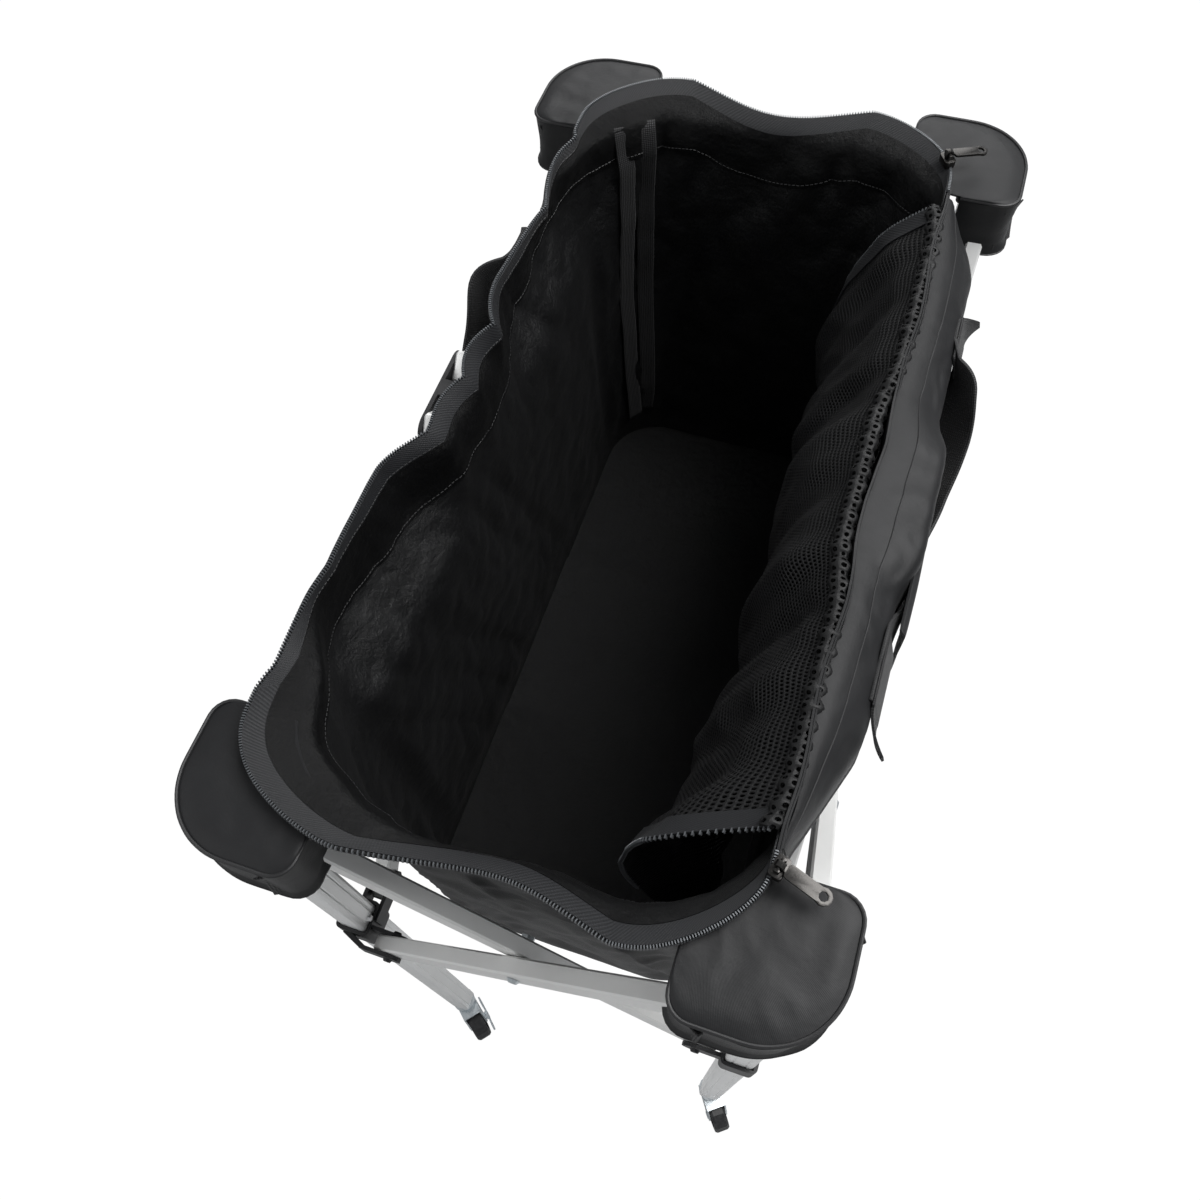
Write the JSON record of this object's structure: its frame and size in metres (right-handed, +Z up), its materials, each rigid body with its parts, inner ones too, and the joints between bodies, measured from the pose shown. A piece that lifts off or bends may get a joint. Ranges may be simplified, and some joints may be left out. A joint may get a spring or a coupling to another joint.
{
  "type": "folding ball cart",
  "caption": "Tall folding cart on casters: square metal legs joined by scissor bars, carrying a deep black cloth bag with a zipped net lid and webbing handles.",
  "frame": {"origin": "on the floor, under the middle of the cart", "axes": "+Z up, +Y along the cart towards the back, +X to the right seen from the front"},
  "size_m": [0.44, 0.8014, 1.0311],
  "materials": {
    "aluminium": "satin drawn tube",
    "black_plastic": "moulded, fine texture",
    "zinc": "zinc plated",
    "wheel_rubber": "smooth",
    "nylon": "woven nylon",
    "netting": "fine net",
    "webbing": "ribbed webbing",
    "zip_metal": "dark nickel"
  },
  "bodies": {
    "corner_front_left": {"leg_front_left": "aluminium", "top_bracket_front_left": "black_plastic", "hood_front_left": "nylon", "caster_stem_front_left": "zinc"},
    "slider_front_left": {"slider_bracket_front_left": "black_plastic"},
    "corner_front_right": {"leg_front_right": "aluminium", "top_bracket_front_right": "black_plastic", "hood_front_right": "nylon", "caster_stem_front_right": "zinc"},
    "slider_front_right": {"slider_bracket_front_right": "black_plastic"},
    "corner_back_right": {"leg_back_right": "aluminium", "top_bracket_back_right": "black_plastic", "hood_back_right": "nylon", "caster_stem_back_right": "zinc"},
    "slider_back_right": {"slider_bracket_back_right": "black_plastic"},
    "corner_back_left": {"leg_back_left": "aluminium", "top_bracket_back_left": "black_plastic", "hood_back_left": "nylon", "caster_stem_back_left": "zinc"},
    "slider_back_left": {"slider_bracket_back_left": "black_plastic"},
    "bar_front_inner": {"bar_front_inner": "aluminium", "cross_bolt_front": "zinc"},
    "bar_front_outer": {"bar_front_outer": "aluminium"},
    "bar_left_front_outer": {"bar_left_front_outer": "aluminium", "cross_bolt_left_front": "zinc"},
    "bar_left_front_inner": {"bar_left_front_inner": "aluminium"},
    "mid_left_upper": {"mid_bracket_left_upper": "black_plastic", "bag_shell": "nylon", "handle_left": "webbing"},
    "mid_left_lower": {"mid_bracket_left_lower": "black_plastic"},
    "bar_left_back_inner": {"bar_left_back_inner": "aluminium", "cross_bolt_left_back": "zinc"},
    "bar_left_back_outer": {"bar_left_back_outer": "aluminium"},
    "bar_right_front_outer": {"bar_right_front_outer": "aluminium", "cross_bolt_right_front": "zinc"},
    "bar_right_front_inner": {"bar_right_front_inner": "aluminium"},
    "mid_right_upper": {"mid_bracket_right_upper": "black_plastic", "handle_right": "webbing"},
    "mid_right_lower": {"mid_bracket_right_lower": "black_plastic"},
    "bar_right_back_inner": {"bar_right_back_inner": "aluminium", "cross_bolt_right_back": "zinc"},
    "bar_right_back_outer": {"bar_right_back_outer": "aluminium"},
    "bar_back_outer": {"bar_back_outer": "aluminium"},
    "bar_back_inner": {"bar_back_inner": "aluminium", "cross_bolt_back": "zinc"},
    "fork_front_left": {"caster_fork_front_left": "zinc"},
    "wheel_front_left": {"caster_wheel_front_left": "wheel_rubber"},
    "brake_front_left": {"brake_lever_front_left": "zinc"},
    "fork_front_right": {"caster_fork_front_right": "zinc"},
    "wheel_front_right": {"caster_wheel_front_right": "wheel_rubber"},
    "fork_back_right": {"caster_fork_back_right": "zinc"},
    "wheel_back_right": {"caster_wheel_back_right": "wheel_rubber"},
    "brake_back_right": {"brake_lever_back_right": "zinc"},
    "fork_back_left": {"caster_fork_back_left": "zinc"},
    "wheel_back_left": {"caster_wheel_back_left": "wheel_rubber"},
    "lid": {"bag_lid": "netting"},
    "zip_slider_front": {"zip_slider_front": "zip_metal"},
    "zip_pull_front": {"zip_pull_front": "zip_metal"},
    "zip_slider_back": {"zip_slider_back": "zip_metal"},
    "zip_pull_back": {"zip_pull_back": "zip_metal"}
  },
  "joints": [
    {"name": "front_left_top", "type": "hinge", "parent": "corner_front_left", "child": "bar_front_inner", "pos_m": [-0.142, -0.354, 0.976], "axis": [0, 1, 0], "range_deg": [0, 30.7]},
    {"name": "front_cross", "type": "hinge", "parent": "bar_front_inner", "child": "bar_front_outer", "pos_m": [0, -0.354, 0.811], "axis": [0, 1, 0], "range_deg": [-61.4, 0]},
    {"name": "front_right_top", "type": "hinge", "parent": "bar_front_outer", "child": "corner_front_right", "pos_m": [0.142, -0.354, 0.976], "axis": [0, 1, 0], "range_deg": [0, 30.7]},
    {"name": "front_right_low", "type": "hinge", "parent": "bar_front_inner", "child": "slider_front_right", "pos_m": [0.142, -0.354, 0.646], "axis": [0, 1, 0], "range_deg": [-30.7, 0]},
    {"name": "front_left_low", "type": "hinge", "parent": "bar_front_outer", "child": "slider_front_left", "pos_m": [-0.142, -0.354, 0.646], "axis": [0, 1, 0], "range_deg": [0, 30.7]},
    {"name": "fold", "type": "hinge", "parent": "mid_left_upper", "child": "bar_left_front_inner", "pos_m": [-0.18, -0.032, 0.976], "axis": [1, 0, 0], "range_deg": [0, 30.7], "deforming": ["bag_shell", "handle_left", "handle_right"]},
    {"name": "left_front_cross", "type": "hinge", "parent": "bar_left_front_inner", "child": "bar_left_front_outer", "pos_m": [-0.18, -0.174, 0.811], "axis": [1, 0, 0], "range_deg": [-61.4, 0]},
    {"name": "left_front_top", "type": "hinge", "parent": "bar_left_front_outer", "child": "corner_front_left", "pos_m": [-0.18, -0.316, 0.976], "axis": [1, 0, 0], "range_deg": [0, 30.7]},
    {"name": "left_mid_upper_back", "type": "hinge", "parent": "mid_left_upper", "child": "bar_left_back_inner", "pos_m": [-0.18, 0.032, 0.976], "axis": [1, 0, 0], "range_deg": [-30.7, 0]},
    {"name": "left_back_cross", "type": "hinge", "parent": "bar_left_back_inner", "child": "bar_left_back_outer", "pos_m": [-0.18, 0.174, 0.811], "axis": [1, 0, 0], "range_deg": [0, 61.4]},
    {"name": "left_back_top", "type": "hinge", "parent": "bar_left_back_outer", "child": "corner_back_left", "pos_m": [-0.18, 0.316, 0.976], "axis": [1, 0, 0], "range_deg": [-30.7, 0]},
    {"name": "left_mid_lower", "type": "hinge", "parent": "bar_left_front_outer", "child": "mid_left_lower", "pos_m": [-0.18, -0.032, 0.646], "axis": [1, 0, 0], "range_deg": [0, 30.7]},
    {"name": "left_back_low", "type": "hinge", "parent": "bar_left_back_inner", "child": "slider_back_left", "pos_m": [-0.18, 0.316, 0.646], "axis": [1, 0, 0], "range_deg": [0, 30.7]},
    {"name": "right_front_top", "type": "hinge", "parent": "corner_front_right", "child": "bar_right_front_outer", "pos_m": [0.18, -0.316, 0.976], "axis": [1, 0, 0], "range_deg": [-30.7, 0]},
    {"name": "right_front_cross", "type": "hinge", "parent": "bar_right_front_outer", "child": "bar_right_front_inner", "pos_m": [0.18, -0.174, 0.811], "axis": [1, 0, 0], "range_deg": [0, 61.4]},
    {"name": "right_mid_upper_front", "type": "hinge", "parent": "bar_right_front_inner", "child": "mid_right_upper", "pos_m": [0.18, -0.032, 0.976], "axis": [1, 0, 0], "range_deg": [-30.7, 0]},
    {"name": "right_back_top", "type": "hinge", "parent": "corner_back_right", "child": "bar_right_back_outer", "pos_m": [0.18, 0.316, 0.976], "axis": [1, 0, 0], "range_deg": [0, 30.7]},
    {"name": "right_back_cross", "type": "hinge", "parent": "bar_right_back_outer", "child": "bar_right_back_inner", "pos_m": [0.18, 0.174, 0.811], "axis": [1, 0, 0], "range_deg": [-61.4, 0]},
    {"name": "right_mid_lower", "type": "hinge", "parent": "bar_right_front_outer", "child": "mid_right_lower", "pos_m": [0.18, -0.032, 0.646], "axis": [1, 0, 0], "range_deg": [0, 30.7]},
    {"name": "right_back_low", "type": "hinge", "parent": "bar_right_back_inner", "child": "slider_back_right", "pos_m": [0.18, 0.316, 0.646], "axis": [1, 0, 0], "range_deg": [0, 30.7]},
    {"name": "back_left_top", "type": "hinge", "parent": "corner_back_left", "child": "bar_back_outer", "pos_m": [-0.142, 0.354, 0.976], "axis": [0, 1, 0], "range_deg": [0, 30.7]},
    {"name": "back_cross", "type": "hinge", "parent": "bar_back_outer", "child": "bar_back_inner", "pos_m": [0, 0.354, 0.811], "axis": [0, 1, 0], "range_deg": [-61.4, 0]},
    {"name": "back_right_top", "type": "hinge", "parent": "bar_back_inner", "child": "corner_back_right", "pos_m": [0.142, 0.354, 0.976], "axis": [0, 1, 0], "range_deg": [0, 30.7]},
    {"name": "swivel_front_left", "type": "hinge", "parent": "corner_front_left", "child": "fork_front_left", "pos_m": [-0.18, -0.354, 0.06], "axis": [0, 0, 1], "continuous": true},
    {"name": "roll_front_left", "type": "hinge", "parent": "fork_front_left", "child": "wheel_front_left", "pos_m": [-0.15887, -0.37237, 0.025], "axis": [0.6561, 0.7547, 0], "continuous": true},
    {"name": "brake_front_left", "type": "hinge", "parent": "fork_front_left", "child": "brake_front_left", "pos_m": [-0.15887, -0.37237, 0.025], "axis": [0.6561, 0.7547, 0], "range_deg": [0, 40]},
    {"name": "swivel_front_right", "type": "hinge", "parent": "corner_front_right", "child": "fork_front_right", "pos_m": [0.18, -0.354, 0.06], "axis": [0, 0, 1], "continuous": true},
    {"name": "roll_front_right", "type": "hinge", "parent": "fork_front_right", "child": "wheel_front_right", "pos_m": [0.19685, -0.37636, 0.025], "axis": [0.7986, 0.6018, 0], "continuous": true},
    {"name": "swivel_back_right", "type": "hinge", "parent": "corner_back_right", "child": "fork_back_right", "pos_m": [0.18, 0.354, 0.06], "axis": [0, 0, 1], "continuous": true},
    {"name": "roll_back_right", "type": "hinge", "parent": "fork_back_right", "child": "wheel_back_right", "pos_m": [0.15887, 0.37237, 0.025], "axis": [-0.6561, -0.7547, 0], "continuous": true},
    {"name": "brake_back_right", "type": "hinge", "parent": "fork_back_right", "child": "brake_back_right", "pos_m": [0.15887, 0.37237, 0.025], "axis": [-0.6561, -0.7547, 0], "range_deg": [0, 40]},
    {"name": "swivel_back_left", "type": "hinge", "parent": "corner_back_left", "child": "fork_back_left", "pos_m": [-0.18, 0.354, 0.06], "axis": [0, 0, 1], "continuous": true},
    {"name": "roll_back_left", "type": "hinge", "parent": "fork_back_left", "child": "wheel_back_left", "pos_m": [-0.19685, 0.37636, 0.025], "axis": [-0.7986, -0.6018, 0], "continuous": true},
    {"name": "lid_swing", "type": "hinge", "parent": "mid_right_upper", "child": "lid", "pos_m": [0.1515, 0, 1.004], "axis": [0, 1, 0], "range_deg": [0, 85], "deforming": ["bag_lid"]},
    {"name": "zip_travel_front", "type": "hinge", "parent": "corner_front_right", "child": "zip_slider_front", "pos_m": [0.062, -0.2605, 1.021], "axis": [0, 0, 1], "range_deg": [-60, 0]},
    {"name": "pull_front", "type": "hinge", "parent": "zip_slider_front", "child": "zip_pull_front", "pos_m": [0.15758, -0.29156, 1.0277], "axis": [0.309, 0.9511, 0], "range_deg": [-150, 0]},
    {"name": "zip_travel_back", "type": "hinge", "parent": "corner_back_right", "child": "zip_slider_back", "pos_m": [0.062, 0.2605, 1.021], "axis": [0, 0, 1], "range_deg": [-22, 50]},
    {"name": "pull_back", "type": "hinge", "parent": "zip_slider_back", "child": "zip_pull_back", "pos_m": [0.14723, 0.31376, 1.0277], "axis": [-0.5299, 0.848, 0], "range_deg": [-150, 0]}
  ],
  "couplings": [
    {"joint": "front_left_top", "follows": "fold", "ratio": 1},
    {"joint": "front_cross", "follows": "fold", "ratio": -2},
    {"joint": "front_right_top", "follows": "fold", "ratio": 1},
    {"joint": "front_right_low", "follows": "fold", "ratio": -1},
    {"joint": "front_left_low", "follows": "fold", "ratio": 1},
    {"joint": "left_front_cross", "follows": "fold", "ratio": -2},
    {"joint": "left_front_top", "follows": "fold", "ratio": 1},
    {"joint": "left_mid_upper_back", "follows": "fold", "ratio": -1},
    {"joint": "left_back_cross", "follows": "fold", "ratio": 2},
    {"joint": "left_back_top", "follows": "fold", "ratio": -1},
    {"joint": "left_mid_lower", "follows": "fold", "ratio": 1},
    {"joint": "left_back_low", "follows": "fold", "ratio": 1},
    {"joint": "right_front_top", "follows": "fold", "ratio": -1},
    {"joint": "right_front_cross", "follows": "fold", "ratio": 2},
    {"joint": "right_mid_upper_front", "follows": "fold", "ratio": -1},
    {"joint": "right_back_top", "follows": "fold", "ratio": 1},
    {"joint": "right_back_cross", "follows": "fold", "ratio": -2},
    {"joint": "right_mid_lower", "follows": "fold", "ratio": 1},
    {"joint": "right_back_low", "follows": "fold", "ratio": 1},
    {"joint": "back_left_top", "follows": "fold", "ratio": 1},
    {"joint": "back_cross", "follows": "fold", "ratio": -2},
    {"joint": "back_right_top", "follows": "fold", "ratio": 1}
  ]
}
